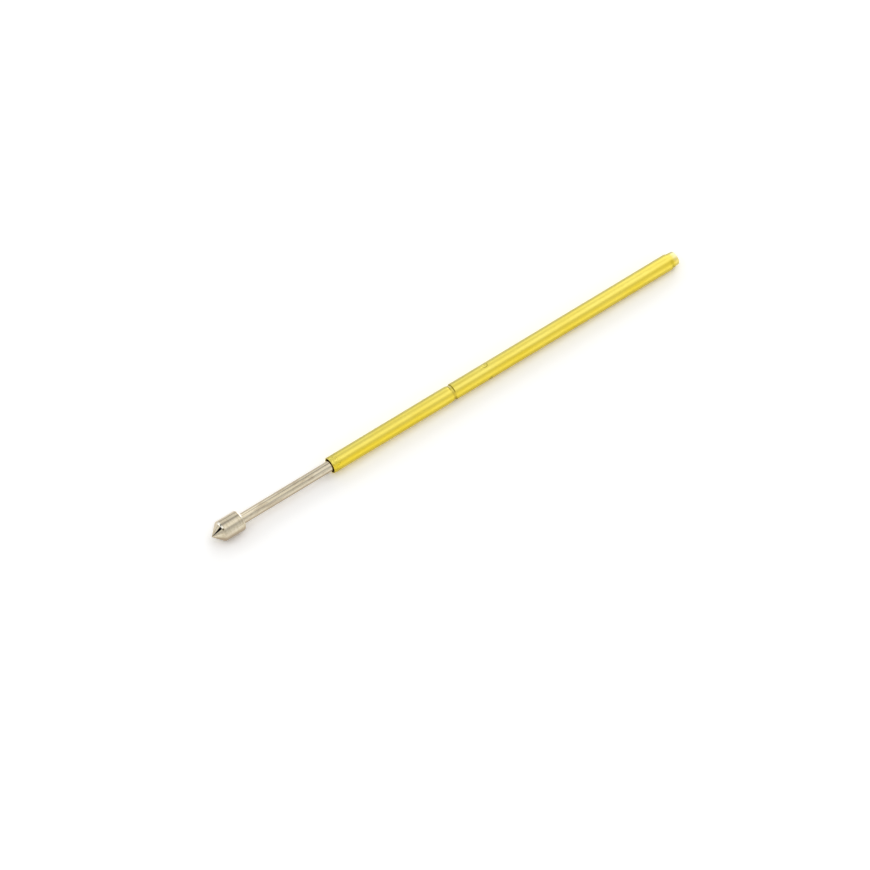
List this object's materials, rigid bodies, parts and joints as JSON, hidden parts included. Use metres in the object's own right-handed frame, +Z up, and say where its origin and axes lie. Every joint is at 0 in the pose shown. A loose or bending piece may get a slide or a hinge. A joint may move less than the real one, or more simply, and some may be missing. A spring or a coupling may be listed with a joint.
{
  "type": "spring-loaded contact pin",
  "caption": "Spring-loaded test pin: a cone-headed plunger that slides in a slim gold-plated barrel against a hidden coil spring.",
  "frame": {"origin": "centre of the barrel's front rim, on the pin's axis", "axes": "+X along the pin from its contact point towards its tail, +Z up as it lies"},
  "size_m": [0.0333, 0.0014, 0.0012],
  "materials": {
    "gold_plate": "gold plating over drawn bronze tube, satin bright",
    "nickel_plate": "nickel plating over turned brass, bright with turning marks",
    "spring_wire": "drawn spring wire"
  },
  "bodies": {
    "barrel": {"barrel": "gold_plate"},
    "spring": {"spring": "spring_wire"},
    "plunger": {"plunger": "nickel_plate"}
  },
  "joints": [
    {"name": "plunger_turn", "type": "hinge", "parent": "barrel", "child": "spring", "pos_m": [0, 0, 0], "axis": [1, 0, 0], "continuous": true},
    {"name": "plunger_travel", "type": "slide", "parent": "spring", "child": "plunger", "axis": [1, 0, 0], "range_m": [0, 0.00635], "stiffness_N_per_m": 395, "springref_m": -0.0011, "deforming": ["spring"]}
  ]
}
